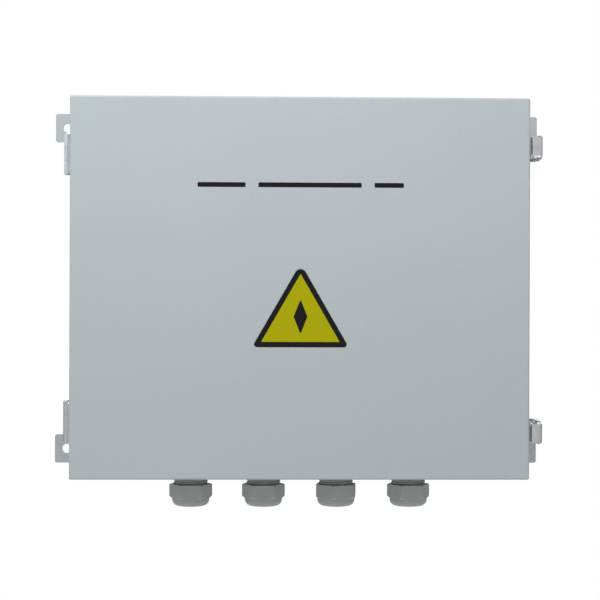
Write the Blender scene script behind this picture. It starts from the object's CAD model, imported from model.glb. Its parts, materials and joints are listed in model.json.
import json
import math

import bmesh
import bpy
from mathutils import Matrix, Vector


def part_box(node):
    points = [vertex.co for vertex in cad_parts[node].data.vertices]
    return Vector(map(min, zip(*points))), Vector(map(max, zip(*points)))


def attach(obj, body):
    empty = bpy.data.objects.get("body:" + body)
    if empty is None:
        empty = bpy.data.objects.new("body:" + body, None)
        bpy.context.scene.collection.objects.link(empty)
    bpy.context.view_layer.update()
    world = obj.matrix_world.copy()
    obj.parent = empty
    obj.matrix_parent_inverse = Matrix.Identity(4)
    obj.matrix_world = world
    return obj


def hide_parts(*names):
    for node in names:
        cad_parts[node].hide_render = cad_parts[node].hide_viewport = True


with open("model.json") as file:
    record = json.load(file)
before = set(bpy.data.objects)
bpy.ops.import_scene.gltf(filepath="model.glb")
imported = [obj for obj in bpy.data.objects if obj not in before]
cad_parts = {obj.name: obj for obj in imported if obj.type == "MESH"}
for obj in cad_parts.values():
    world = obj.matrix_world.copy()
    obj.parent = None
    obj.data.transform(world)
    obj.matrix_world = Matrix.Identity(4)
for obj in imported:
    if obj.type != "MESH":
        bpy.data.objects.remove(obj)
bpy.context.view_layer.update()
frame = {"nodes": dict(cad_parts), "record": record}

MM = 0.001

# Sockets of a mix node, which share one name and differ only by number.
MIX_FACTOR = 0
MIX_VALUE_A, MIX_VALUE_B, MIX_VALUE_RESULT = 2, 3, 0
MIX_COLOR_A, MIX_COLOR_B, MIX_COLOR_RESULT = 6, 7, 2


# ------------------------------------------------------------ node materials


class Surface:
    """A Principled material whose pattern is laid out in metres of the row frame."""

    def __init__(self, name, metallic=0.0, roughness=0.5, specular=0.5):
        self.material = bpy.data.materials.new(name)
        self.material.use_nodes = True
        self.tree = self.material.node_tree
        self.shader = self.tree.nodes["Principled BSDF"]
        self.shader.inputs["Metallic"].default_value = metallic
        self.shader.inputs["Roughness"].default_value = roughness
        self.shader.inputs["Specular IOR Level"].default_value = specular
        self.place = self.node("ShaderNodeTexCoord").outputs["Object"]
        self.normal = None

    def node(self, kind, **settings):
        made = self.tree.nodes.new(kind)
        for key, value in settings.items():
            setattr(made, key, value)
        return made

    def join(self, output, socket):
        self.tree.links.new(output, socket)

    def stretched(self, scale):
        """Coordinates scaled by a different amount along each axis."""
        mapping = self.node("ShaderNodeMapping")
        mapping.inputs["Scale"].default_value = scale
        self.join(self.place, mapping.inputs["Vector"])
        return mapping.outputs["Vector"]

    def noise(self, size, detail=3.0, stretch=None):
        """Noise whose features are about size metres wide."""
        made = self.node("ShaderNodeTexNoise")
        made.inputs["Scale"].default_value = 1.0 / size
        made.inputs["Detail"].default_value = detail
        self.join(self.stretched(stretch) if stretch else self.place, made.inputs["Vector"])
        return made.outputs["Fac"]

    def cells(self, size, output="Color"):
        """Voronoi cells about size metres wide."""
        made = self.node("ShaderNodeTexVoronoi")
        made.inputs["Scale"].default_value = 1.0 / size
        self.join(self.place, made.inputs["Vector"])
        return made.outputs[output]

    def remap(self, value, low, high, from_low=0.0, from_high=1.0):
        made = self.node("ShaderNodeMapRange")
        self.join(value, made.inputs["Value"])
        for key, number in zip(("From Min", "From Max", "To Min", "To Max"),
                               (from_low, from_high, low, high)):
            made.inputs[key].default_value = number
        return made.outputs["Result"]

    def ramp(self, value, stops):
        made = self.node("ShaderNodeValToRGB")
        self.join(value, made.inputs["Fac"])
        elements = made.color_ramp.elements
        while len(elements) < len(stops):
            elements.new(0.5)
        for element, (position, color) in zip(elements, stops):
            element.position = position
            element.color = (*color, 1.0)
        return made.outputs["Color"]

    def mix(self, factor, a, b, blend="MIX"):
        """Mixes two colours; each is a socket or a plain (r, g, b)."""
        made = self.node("ShaderNodeMix", data_type="RGBA", blend_type=blend)
        for value, number in ((factor, MIX_FACTOR), (a, MIX_COLOR_A), (b, MIX_COLOR_B)):
            socket = made.inputs[number]
            if isinstance(value, bpy.types.NodeSocket):
                self.join(value, socket)
            elif isinstance(value, tuple):
                socket.default_value = (*value, 1.0)
            else:
                socket.default_value = value
        return made.outputs[MIX_COLOR_RESULT]

    def crevices(self, reach):
        """1 in the open, lower where surfaces meet within reach metres."""
        made = self.node("ShaderNodeAmbientOcclusion", samples=6)
        made.inputs["Distance"].default_value = reach
        return made.outputs["AO"]

    def color(self, output):
        self.join(output, self.shader.inputs["Base Color"])

    def roughness(self, output):
        self.join(output, self.shader.inputs["Roughness"])

    def bump(self, height, depth):
        """Adds relief of about depth metres; calls stack."""
        made = self.node("ShaderNodeBump")
        made.inputs["Strength"].default_value = 1.0
        made.inputs["Distance"].default_value = depth
        self.join(height, made.inputs["Height"])
        if self.normal is not None:
            self.join(self.normal, made.inputs["Normal"])
        self.normal = made.outputs["Normal"]
        self.join(self.normal, self.shader.inputs["Normal"])

    def soft_edges(self, radius):
        """Rounds the light on sharp edges; call it before bump."""
        made = self.node("ShaderNodeBevel", samples=4)
        made.inputs["Radius"].default_value = radius
        self.normal = made.outputs["Normal"]
        self.join(self.normal, self.shader.inputs["Normal"])


def tint(color, factor):
    return tuple(min(1.0, channel * factor) for channel in color)


COAT = (0.415, 0.458, 0.472)


def powder_coat():
    """Light grey-blue satin powder coat with a fine orange peel."""
    s = Surface("powder_coat", roughness=0.42)
    s.soft_edges(0.5 * MM)
    clouds = s.mix(s.noise(160 * MM, 2.0), tint(COAT, 0.97), tint(COAT, 1.03))
    speckle = s.remap(s.noise(0.9 * MM, 2.0), 0.965, 1.035, 0.3, 0.7)
    grained = s.mix(1.0, clouds, speckle, "MULTIPLY")
    grime = s.remap(s.crevices(6 * MM), 0.80, 1.0, 0.2, 0.9)
    s.color(s.mix(1.0, grained, grime, "MULTIPLY"))
    s.roughness(s.remap(s.noise(14 * MM, 4.0), 0.38, 0.48, 0.3, 0.7))
    s.bump(s.noise(1.6 * MM, 2.0), 0.05 * MM)
    s.bump(s.noise(7.0 * MM, 1.0), 0.03 * MM)
    return s.material


def plated_steel(name, color, roughness, along, grain=0.5 * MM):
    """Plated steel with fine drawn lines along one axis, faint stains and worn edges."""
    s = Surface(name, metallic=1.0, roughness=roughness)
    s.soft_edges(0.25 * MM)
    stretch = tuple(0.03 if axis == along else 1.0 for axis in "xyz")
    lines = s.noise(grain, 4.0, stretch)
    stains = s.noise(9 * MM, 5.0)
    base = s.mix(s.remap(lines, 0, 1, 0.30, 0.70), tint(color, 0.94), tint(color, 1.04))
    base = s.mix(s.remap(stains, 0.0, 0.30, 0.45, 0.75), base, tint(color, 0.80))
    s.color(s.mix(1.0, base, s.remap(s.crevices(3 * MM), 0.6, 1.0, 0.1, 0.9), "MULTIPLY"))
    s.roughness(s.remap(lines, roughness - 0.07, roughness + 0.10, 0.35, 0.65))
    s.bump(lines, 0.007 * MM)
    return s.material


def galvanised_sheet():
    """Hot-dip galvanised sheet with its crystal spangle."""
    s = Surface("galvanised_sheet", metallic=1.0, roughness=0.42)
    gray = s.node("ShaderNodeRGBToBW")
    s.join(s.cells(11 * MM), gray.inputs["Color"])
    spangle = gray.outputs["Val"]
    s.color(s.mix(spangle, (0.44, 0.46, 0.48), (0.66, 0.68, 0.69)))
    s.roughness(s.remap(spangle, 0.34, 0.52))
    s.bump(s.noise(0.7 * MM, 3.0), 0.015 * MM)
    return s.material


def moulded_plastic(name, color, roughness=0.5, grain=0.35 * MM, depth=0.02 * MM, specular=0.5,
                    dirt=(0.55, 0.1, 0.9)):
    """Moulded plastic with a fine spark-eroded grain and slight flow clouds.

    dirt is how dark the creases get, then the openness where they are darkest and clean."""
    s = Surface(name, roughness=roughness, specular=specular)
    s.soft_edges(0.35 * MM)
    clouds = s.mix(s.noise(12 * MM, 3.0), tint(color, 0.90), tint(color, 1.08))
    darkest, creased, clean = dirt
    shade = s.remap(s.crevices(4 * MM), darkest, 1.0, creased, clean)
    s.color(s.mix(1.0, clouds, shade, "MULTIPLY"))
    s.roughness(s.remap(s.noise(3 * MM, 4.0), roughness - 0.06, roughness + 0.08, 0.3, 0.7))
    s.bump(s.noise(grain, 3.0), depth)
    return s.material


def rubber(name, color, pore=0.6 * MM, depth=0.05 * MM):
    """Matt rubber or closed-cell foam with small pores."""
    s = Surface(name, roughness=0.85)
    s.color(s.mix(s.noise(pore, 3.0), tint(color, 0.7), tint(color, 1.5)))
    s.roughness(s.remap(s.noise(5 * MM, 2.0), 0.75, 0.95))
    s.bump(s.cells(pore, output="Distance"), depth)
    return s.material


def printed_film(name, color, roughness=0.36, specular=0.2):
    """Printed vinyl film: even colour with a trace of dot grain and orange peel."""
    s = Surface(name, roughness=roughness, specular=specular)
    s.color(s.mix(s.noise(0.5 * MM, 2.0), tint(color, 0.94), tint(color, 1.05)))
    s.roughness(s.remap(s.noise(4 * MM, 3.0), roughness - 0.05, roughness + 0.07))
    s.bump(s.noise(1.5 * MM, 2.0), 0.02 * MM)
    return s.material


def glazed_ceramic():
    """Fuse barrel: off-white ceramic with faint iron specks."""
    s = Surface("glazed_ceramic", roughness=0.28)
    specks = s.remap(s.cells(1.8 * MM, output="Distance"), 1.0, 0.0, 0.05, 0.12)
    s.color(s.mix(specks, (0.78, 0.76, 0.70), (0.45, 0.38, 0.28)))
    s.roughness(s.remap(s.noise(2 * MM, 3.0), 0.22, 0.36))
    s.bump(s.noise(1.2 * MM, 2.0), 0.01 * MM)
    return s.material


WIRE_GREEN = (0.05, 0.22, 0.04)
WIRE_YELLOW = (0.62, 0.55, 0.03)


def striped_insulation():
    """Green wire insulation with bands of yellow along it."""
    s = Surface("striped_insulation", roughness=0.38)
    wave = s.node("ShaderNodeTexWave", wave_type="BANDS", bands_direction="Z")
    wave.inputs["Scale"].default_value = 26.0
    wave.inputs["Distortion"].default_value = 0.6
    s.join(s.place, wave.inputs["Vector"])
    s.color(s.ramp(wave.outputs["Fac"], [(0.0, WIRE_GREEN), (0.62, WIRE_GREEN),
                                         (0.66, WIRE_YELLOW), (1.0, WIRE_YELLOW)]))
    s.roughness(s.remap(s.noise(2 * MM, 3.0), 0.32, 0.45))
    s.bump(s.noise(0.8 * MM, 2.0), 0.02 * MM)
    return s.material


MATERIALS = {
    "powder_coat": powder_coat(),
    "zinc_steel": plated_steel("zinc_steel", (0.76, 0.77, 0.78), 0.30, "z"),
    "fastener_steel": plated_steel("fastener_steel", (0.68, 0.68, 0.64), 0.36, "x"),
    "galvanised_sheet": galvanised_sheet(),
    "rail_steel": plated_steel("rail_steel", (0.66, 0.67, 0.62), 0.32, "x"),
    "gland_nylon": moulded_plastic("gland_nylon", (0.385, 0.412, 0.396), 0.5, specular=0.15,
                                   dirt=(0.70, 0.55, 0.97)),
    "seal_rubber": rubber("seal_rubber", (0.020, 0.020, 0.021)),
    "gasket_foam": rubber("gasket_foam", (0.032, 0.032, 0.033), 0.9 * MM, 0.12 * MM),
    "label_film": printed_film("label_film", (0.375, 0.350, 0.001), specular=0.1),
    "label_ink": printed_film("label_ink", (0.009, 0.009, 0.009), 0.45, 0.12),
    "device_grey": moulded_plastic("device_grey", (0.56, 0.57, 0.56), 0.48),
    "drawer_plastic": moulded_plastic("drawer_plastic", (0.055, 0.056, 0.060), 0.44),
    "module_plastic": moulded_plastic("module_plastic", (0.36, 0.045, 0.030), 0.42),
    "fuse_ceramic": glazed_ceramic(),
    "busbar_copper": plated_steel("busbar_copper", (0.78, 0.40, 0.27), 0.34, "x"),
    "bar_brass": plated_steel("bar_brass", (0.78, 0.60, 0.30), 0.32, "x"),
    "wire_red": moulded_plastic("wire_red", (0.42, 0.020, 0.016), 0.36),
    "wire_black": moulded_plastic("wire_black", (0.022, 0.022, 0.024), 0.36),
    "wire_green": striped_insulation(),
    "indicator_green": printed_film("indicator_green", (0.02, 0.24, 0.05), 0.30, 0.4),
    "lamp_lens": moulded_plastic("lamp_lens", (0.50, 0.045, 0.025), 0.22, depth=0.005 * MM),
}


def finish_with(piece, slot):
    piece.data.materials.clear()
    piece.data.materials.append(MATERIALS[slot])


for subpart in frame["record"]["subparts"]:
    finish_with(frame["nodes"][subpart["node"]], subpart["material_slot"])


# ------------------------------------------------------------- mesh building


def new_piece(name, vertices, faces, slot, body, smooth=False):
    """A mesh piece in the row frame that rides on a body."""
    mesh = bpy.data.meshes.new(name)
    mesh.from_pydata([tuple(v) for v in vertices], [], faces)
    mesh.validate()
    piece = bpy.data.objects.new(name, mesh)
    bpy.context.collection.objects.link(piece)
    clean = bmesh.new()
    clean.from_mesh(mesh)
    bmesh.ops.recalc_face_normals(clean, faces=clean.faces)
    clean.to_mesh(mesh)
    clean.free()
    for polygon in mesh.polygons:
        polygon.use_smooth = smooth
    mesh.materials.append(MATERIALS[slot])
    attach(piece, body)
    return piece


def rounded_outline(corners, radii, steps=10):
    """Points of a polygon (given counter-clockwise) whose corners are arcs."""
    points = []
    count = len(corners)
    for i, (corner, radius) in enumerate(zip(corners, radii)):
        corner = Vector(corner)
        before = (Vector(corners[i - 1]) - corner).normalized()
        after = (Vector(corners[(i + 1) % count]) - corner).normalized()
        half = before.angle(after) / 2
        centre = corner + (before + after).normalized() * (radius / math.sin(half))
        start = corner + before * (radius / math.tan(half)) - centre
        end = corner + after * (radius / math.tan(half)) - centre
        sweep = start.angle(end)
        for k in range(steps + 1):
            t = k / steps
            arm = (start * math.sin((1 - t) * sweep) + end * math.sin(t * sweep)) / math.sin(sweep)
            points.append(centre + arm)
    return points


def plate_from(outline, y_back, y_front, edge):
    """Vertices and faces of a thin plate facing -Y with a chamfered front edge."""
    centre = sum(outline, Vector((0, 0))) / len(outline)
    rings = [(y_back, 0.0), (y_front + edge, 0.0), (y_front, edge)]
    vertices = []
    for y, inset in rings:
        for point in outline:
            inward = (centre - point).normalized() * inset
            vertices.append((point.x + inward.x, y, point.y + inward.y))
    count = len(outline)
    faces = [tuple(range(count)), tuple(range(2 * count, 3 * count))[::-1]]
    for ring in range(2):
        for i in range(count):
            j = (i + 1) % count
            faces.append((ring * count + i, ring * count + j,
                          (ring + 1) * count + j, (ring + 1) * count + i))
    return vertices, faces


# --------------------------------------------------------------- door prints


SIGN_TOP_RADIUS = 6.3 * MM
SIGN_FOOT_RADIUS = 3.2 * MM
SIGN_BORDER = 5.7 * MM
SIGN_FILM_INSET = 0.1 * MM
SIGN_FILM_STEP = 0.08 * MM
SIGN_INK_GAP = 0.02 * MM
LOZENGE_HALF_WIDTH = 7.5 * MM
LOZENGE_HALF_HEIGHT = 19 * MM
LOZENGE_HEIGHT_SHARE = 0.39

PRINT_HEIGHT = 112 * MM
PRINT_HALF_HEIGHT = 2.6 * MM
PRINT_SPANS_MM = ((-112, -60), (-46, 66), (80, 112))
PRINT_CORNER = 1.2 * MM


def sign_outline(inset, top_radius, foot_radius):
    """The sign's equilateral triangle, moved inwards by inset, with rounded corners."""
    low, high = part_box("hazard_label")
    cot_30 = 1 / math.tan(math.radians(30))
    sharp_half = (high.x - low.x) / 2 + SIGN_FOOT_RADIUS * (cot_30 - 1)
    half = sharp_half - inset * cot_30
    middle = (low.x + high.x) / 2
    foot = low.z + inset
    corners = [(middle - half, foot), (middle + half, foot), (middle, foot + half * cot_30)]
    return rounded_outline(corners, [foot_radius, foot_radius, top_radius])


def ring_from(outer, inner, y_back, y_front):
    """Flat ring between two outlines with the same number of points."""
    count = len(outer)
    vertices = []
    for outline, y in ((outer, y_back), (outer, y_front), (inner, y_front), (inner, y_back)):
        vertices += [(p.x, y, p.y) for p in outline]
    faces = []
    for ring in range(4):
        for i in range(count):
            j = (i + 1) % count
            next_ring = (ring + 1) % 4
            faces.append((ring * count + i, ring * count + j,
                          next_ring * count + j, next_ring * count + i))
    return vertices, faces


def hazard_sign():
    """Yellow film, black border and a plain lozenge, with no pictogram."""
    low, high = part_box("hazard_label")
    front, back = low.y, high.y
    film_front = front + SIGN_FILM_STEP
    ink_back = film_front + SIGN_INK_GAP
    sheet = sign_outline(SIGN_FILM_INSET, SIGN_TOP_RADIUS, SIGN_FOOT_RADIUS)
    film = new_piece("sign_film", *plate_from(sheet, back, film_front, 0.05 * MM),
                     "label_film", "door")
    outer = sign_outline(0.0, SIGN_TOP_RADIUS, SIGN_FOOT_RADIUS)
    inner = sign_outline(SIGN_BORDER, 0.5 * MM, 0.5 * MM)
    border = new_piece("sign_border", *ring_from(outer, inner, ink_back, front),
                       "label_ink", "door")
    middle = Vector(((low.x + high.x) / 2, low.z + LOZENGE_HEIGHT_SHARE * (high.z - low.z)))
    corners = [middle + Vector(step) for step in ((0, -LOZENGE_HALF_HEIGHT),
                                                  (LOZENGE_HALF_WIDTH, 0),
                                                  (0, LOZENGE_HALF_HEIGHT),
                                                  (-LOZENGE_HALF_WIDTH, 0))]
    lozenge = rounded_outline(corners, [1.0 * MM] * 4, 6)
    mark = new_piece("sign_lozenge", *plate_from(lozenge, ink_back, front, 0.02 * MM),
                     "label_ink", "door")
    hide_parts("hazard_label")


def print_line():
    """A generic line of print: three plain bars, with no lettering."""
    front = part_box("door_cover")[0].y
    z0, z1 = PRINT_HEIGHT - PRINT_HALF_HEIGHT, PRINT_HEIGHT + PRINT_HALF_HEIGHT
    for i, (start, end) in enumerate(PRINT_SPANS_MM):
        x0, x1 = start * MM, end * MM
        corners = [(x0, z0), (x1, z0), (x1, z1), (x0, z1)]
        outline = rounded_outline(corners, [PRINT_CORNER] * 4, 6)
        bar = new_piece("print_bar_%d" % (i + 1),
                        *plate_from(outline, front + 0.1 * MM, front - 0.05 * MM, 0.02 * MM),
                        "label_ink", "door")


hazard_sign()
print_line()


# ------------------------------------------------- windows of the plug-in parts


FLAG_HALF_WIDTH = 3.8 * MM
FLAG_FROM, FLAG_TO = 4.2 * MM, 11.8 * MM
FLAG_BACK, FLAG_FRONT = 0.7 * MM, 0.25 * MM
LAMP_HALF_WIDTH = 4.8 * MM
LAMP_FROM, LAMP_TO = 11.8 * MM, 4.2 * MM
LAMP_BACK, LAMP_FRONT = 2.1 * MM, 0.5 * MM


def recess_window(name, spot, half_w, face, depths, slot, body):
    """Rounded plate in a recess; depths are its back and its front below the face around it."""
    x, z0, z1 = spot
    back, front = depths
    corners = [(x - half_w, z0), (x + half_w, z0), (x + half_w, z1), (x - half_w, z1)]
    outline = rounded_outline(corners, [0.8 * MM] * 4, 6)
    window = new_piece(name, *plate_from(outline, face + back, face + front, 0.15 * MM),
                       slot, body)


def recess_windows():
    """Status flags of the surge modules and lamp lenses of the fuse drawers."""
    for i in ("1", "2", "3"):
        low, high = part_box("surge_module_" + i)
        x, z = (low.x + high.x) / 2, (low.z + high.z) / 2
        recess_window("surge_flag_" + i, (x, z + FLAG_FROM, z + FLAG_TO), FLAG_HALF_WIDTH,
                      low.y, (FLAG_BACK, FLAG_FRONT), "indicator_green",
                      "surge_module_" + i)
        low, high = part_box("fuse_drawer_" + i)
        x, top = (low.x + high.x) / 2, high.z
        recess_window("fuse_lamp_" + i, (x, top - LAMP_FROM, top - LAMP_TO), LAMP_HALF_WIDTH,
                      low.y, (LAMP_BACK, LAMP_FRONT), "lamp_lens",
                      "fuse_carrier_" + i)


recess_windows()


# -------------------------------------------------------------- gland bodies


NECK_RADIUS = 19.15 * MM
WALL_THREAD_RADIUS = 15.95 * MM
SEAT_RADIUS = 16.5 * MM
BODY_BORE_RADIUS = 13.0 * MM
FLANGE_ACROSS_FLATS = 42 * MM
FLANGE_BORE_RADIUS = 15.0 * MM
FLANGE_HEIGHT = 5.5 * MM
SEAT_DEPTH = 4.0 * MM
THREADS = {"neck": (3.0 * MM, 1.15 * MM), "wall": (1.5 * MM, 0.8 * MM)}  # pitch, depth
FLANK_STEEPNESS = 2.2
CREST_OFFSET = 0.9
GLAND_TURN_DEGREES = 12


def turned(profile, segments, twist):
    """Vertices and faces of a closed ring section spun about Z.

    profile is a closed list of (r, z, kind); where kind is the name of a thread in twist,
    the radius is cut by that thread's helix."""
    vertices = []
    for k in range(segments):
        angle = 2 * math.pi * k / segments
        for r, z, kind in profile:
            if kind:
                pitch, depth = twist[kind]
                phase = (z / pitch - k / segments) % 1.0
                cut = abs(2 * phase - 1) * FLANK_STEEPNESS - CREST_OFFSET
                r = r - depth * max(0.0, min(1.0, cut))
            vertices.append((r * math.cos(angle), r * math.sin(angle), z))
    count = len(profile)
    faces = []
    for k in range(segments):
        nxt = (k + 1) % segments
        for i in range(count):
            j = (i + 1) % count
            faces.append((k * count + i, nxt * count + i, nxt * count + j, k * count + j))
    return vertices, faces


def thread_rows(r, z_from, z_to, kind, step):
    rows = max(2, round(abs(z_to - z_from) / step))
    return [(r, z_from + (z_to - z_from) * i / rows, kind) for i in range(rows + 1)]


def hexagon_rim(across_flats, corner_cut, steps=8):
    """Outline of a hexagon whose corners are turned off at a radius."""
    flat = across_flats / 2
    limit = flat / math.cos(math.radians(30)) - corner_cut
    points = []
    for k in range(6 * steps):
        angle = 2 * math.pi * k / (6 * steps)
        off_flat = (angle + math.pi / 6) % (math.pi / 3) - math.pi / 6
        points.append((min(flat / math.cos(off_flat), limit), angle))
    return points


def merge(parts):
    vertices, faces = [], []
    for part_vertices, part_faces in parts:
        start = len(vertices)
        vertices += part_vertices
        faces += [tuple(start + i for i in face) for face in part_faces]
    return vertices, faces


def hexagon_flange(across_flats, bore, z_low, z_high, edge, turn):
    """Hexagonal ring with rounded corners and eased rims."""
    rim = hexagon_rim(across_flats, 1.6 * MM)
    rows = [(-edge, z_low), (0.0, z_low + edge), (0.0, z_high - edge), (-edge, z_high)]
    vertices = []
    for change, z in rows:
        for r, angle in rim:
            vertices.append(((r + change) * math.cos(angle + turn),
                             (r + change) * math.sin(angle + turn), z))
    for z in (z_high, z_low):
        for r, angle in rim:
            vertices.append((bore * math.cos(angle + turn), bore * math.sin(angle + turn), z))
    count = len(rim)
    faces = []
    for ring in range(6):
        nxt = (ring + 1) % 6
        for i in range(count):
            j = (i + 1) % count
            faces.append((ring * count + i, ring * count + j, nxt * count + j, nxt * count + i))
    return vertices, faces


def gland_bodies():
    """Threaded bodies with real helical threads, in place of the plain ones."""
    low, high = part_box("gland_bodies")
    washer_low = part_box("gland_washers")[0].z
    nut_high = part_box("gland_nut_1")[1]
    flange_low = washer_low - FLANGE_HEIGHT
    seat_top = nut_high.z - SEAT_DEPTH
    profile = [(BODY_BORE_RADIUS, high.z, None)]
    profile += thread_rows(WALL_THREAD_RADIUS, high.z, washer_low + 0.2 * MM, "wall", 0.25 * MM)
    profile += [(WALL_THREAD_RADIUS, washer_low - 1.0 * MM, None),
                (NECK_RADIUS - 0.6 * MM, flange_low + 1.0 * MM, None)]
    profile += thread_rows(NECK_RADIUS, flange_low, low.z + 0.8 * MM, "neck", 0.3 * MM)
    profile += [(NECK_RADIUS - 1.2 * MM, low.z, None), (SEAT_RADIUS, low.z, None),
                (SEAT_RADIUS, seat_top, None), (BODY_BORE_RADIUS, seat_top, None)]
    centres = [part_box("gland_nut_%d" % (i + 1)) for i in range(4)]
    parts = []
    for i, (nut_a, nut_b) in enumerate(centres):
        middle = (nut_a + nut_b) / 2
        turn = math.radians(GLAND_TURN_DEGREES * i)
        ring = merge([
            turned(profile, 96, THREADS),
            hexagon_flange(FLANGE_ACROSS_FLATS, FLANGE_BORE_RADIUS, flange_low, washer_low,
                           0.5 * MM, turn),
        ])
        moved = [(x + middle.x, y + middle.y, z) for x, y, z in ring[0]]
        parts.append((moved, ring[1]))
    piece = new_piece("gland_threaded_bodies", *merge(parts), "gland_nylon", "enclosure",
                      smooth=True)
    piece.data.set_sharp_from_angle(angle=math.radians(38))
    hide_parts("gland_bodies")


gland_bodies()


# -------------------------------------------------- floor, lights and camera


FLOOR_RADIUS = 4.0
FLOOR_HEIGHT = -1.6
FLOOR_SIDES = 64
FLOOR_GLOW = (1.5, 3.6)
FLOOR_GLOW_REACH = 0.6

WORLD_FACING = (-0.20, -0.92, 0.34)
WORLD_DIM, WORLD_BRIGHT = 0.16, 0.58
BACKDROP_GLOW = 0.8
LOW_LIGHT = 0.12

CAMERA_PLACE = (-0.0505, -1.8849, -0.0128)
CAMERA_YAW = math.radians(1.648)
CAMERA_ROLL = math.radians(0.197)
CAMERA_LENS = 96.0
CAMERA_SENSOR = 36.0


def floor():
    """Pale disc far below the box, brighter away from its middle."""
    mesh = bpy.data.meshes.new("floor")
    ring = [(FLOOR_RADIUS * math.cos(a), FLOOR_RADIUS * math.sin(a), FLOOR_HEIGHT)
            for a in (2 * math.pi * k / FLOOR_SIDES for k in range(FLOOR_SIDES))]
    mesh.from_pydata(ring, [], [tuple(range(FLOOR_SIDES))])
    disc = bpy.data.objects.new("floor", mesh)
    bpy.context.collection.objects.link(disc)
    s = Surface("floor_paint", roughness=0.8)
    s.color(s.mix(s.noise(0.5, 2.0), (0.60, 0.60, 0.60), (0.64, 0.64, 0.64)))
    away = s.node("ShaderNodeVectorMath", operation="LENGTH")
    s.join(s.place, away.inputs[0])
    s.shader.inputs["Emission Color"].default_value = (1.0, 1.0, 1.0, 1.0)
    s.join(s.remap(away.outputs["Value"], 0.0, FLOOR_GLOW_REACH, *FLOOR_GLOW),
           s.shader.inputs["Emission Strength"])
    mesh.materials.append(s.material)


def area_light(name, place, aim, size, power, color=(1, 1, 1)):
    data = bpy.data.lights.new(name, "AREA")
    data.shape = "RECTANGLE"
    data.size, data.size_y = size
    data.energy = power
    data.color = color
    lamp = bpy.data.objects.new(name, data)
    bpy.context.collection.objects.link(lamp)
    lamp.location = place
    lamp.rotation_euler = (Vector(aim) - Vector(place)).to_track_quat("-Z", "Y").to_euler()


def surroundings():
    """Soft studio: brightest from the front and a little above, with a pale backdrop that
    rises behind the box; plain white to the camera."""
    world = bpy.data.worlds.new("studio")
    world.use_nodes = True
    tree = world.node_tree
    background = tree.nodes["Background"]
    background.inputs["Color"].default_value = (1.0, 1.0, 1.0, 1.0)
    place = tree.nodes.new("ShaderNodeTexCoord").outputs["Generated"]
    facing = tree.nodes.new("ShaderNodeVectorMath")
    facing.operation = "DOT_PRODUCT"
    facing.inputs[1].default_value = Vector(WORLD_FACING).normalized()
    tree.links.new(place, facing.inputs[0])
    ramp = tree.nodes.new("ShaderNodeMapRange")
    ramp.interpolation_type = "SMOOTHSTEP"
    ramp.inputs["From Min"].default_value = -1.0
    ramp.inputs["From Max"].default_value = 1.0
    ramp.inputs["To Min"].default_value = WORLD_DIM
    ramp.inputs["To Max"].default_value = WORLD_BRIGHT
    tree.links.new(facing.outputs["Value"], ramp.inputs["Value"])
    split = tree.nodes.new("ShaderNodeSeparateXYZ")
    tree.links.new(place, split.inputs[0])

    def rise(axis, start, full, low, high):
        made = tree.nodes.new("ShaderNodeMapRange")
        made.interpolation_type = "SMOOTHSTEP"
        for key, number in zip(("From Min", "From Max", "To Min", "To Max"),
                               (start, full, low, high)):
            made.inputs[key].default_value = number
        tree.links.new(split.outputs[axis], made.inputs["Value"])
        return made.outputs["Result"]

    def product(a, b, extra=None):
        made = tree.nodes.new("ShaderNodeMath")
        made.operation = "MULTIPLY_ADD" if extra else "MULTIPLY"
        for output, socket in zip((a, b, extra), made.inputs):
            if output:
                tree.links.new(output, socket)
        return made.outputs[0]

    front = product(ramp.outputs["Result"], rise("Z", -0.75, 0.15, LOW_LIGHT, 1.0))
    backdrop = rise("Y", -0.10, 0.35, 0.0, BACKDROP_GLOW)
    glow = product(rise("Z", -0.02, 0.10, 0.0, 1.0), backdrop, front)
    rays = tree.nodes.new("ShaderNodeLightPath")
    choose = tree.nodes.new("ShaderNodeMix")
    tree.links.new(rays.outputs["Is Camera Ray"], choose.inputs[MIX_FACTOR])
    tree.links.new(glow, choose.inputs[MIX_VALUE_A])
    choose.inputs[MIX_VALUE_B].default_value = 1.0
    tree.links.new(choose.outputs[MIX_VALUE_RESULT], background.inputs["Strength"])
    bpy.context.scene.world = world


def camera():
    """Long lens, level and almost square to the cover, slightly to its left."""
    forward = Vector((math.sin(CAMERA_YAW), math.cos(CAMERA_YAW), 0.0))
    data = bpy.data.cameras.new("camera")
    data.lens = CAMERA_LENS
    data.sensor_width = CAMERA_SENSOR
    made = bpy.data.objects.new("camera", data)
    bpy.context.collection.objects.link(made)
    made.location = CAMERA_PLACE
    level = forward.to_track_quat("-Z", "Y").to_matrix()
    right, up = level.col[0].copy(), level.col[1].copy()
    turned_right = math.cos(CAMERA_ROLL) * right + math.sin(CAMERA_ROLL) * up
    turned_up = math.cos(CAMERA_ROLL) * up - math.sin(CAMERA_ROLL) * right
    basis = level.copy()
    basis.col[0], basis.col[1] = turned_right, turned_up
    made.rotation_euler = basis.to_euler()
    bpy.context.scene.camera = made


floor()
surroundings()
area_light("top_softbox", place=(-0.2, -1.0, 1.0), aim=(0, -0.15, 0.0), size=(1.2, 0.5),
           power=13.5)
area_light("left_softbox", place=(-1.3, -0.9, 0.6), aim=(0, -0.1, 0), size=(0.6, 1.0),
           power=2.2, color=(0.66, 0.80, 1.0))
camera()
bpy.context.scene.view_settings.view_transform = "Standard"
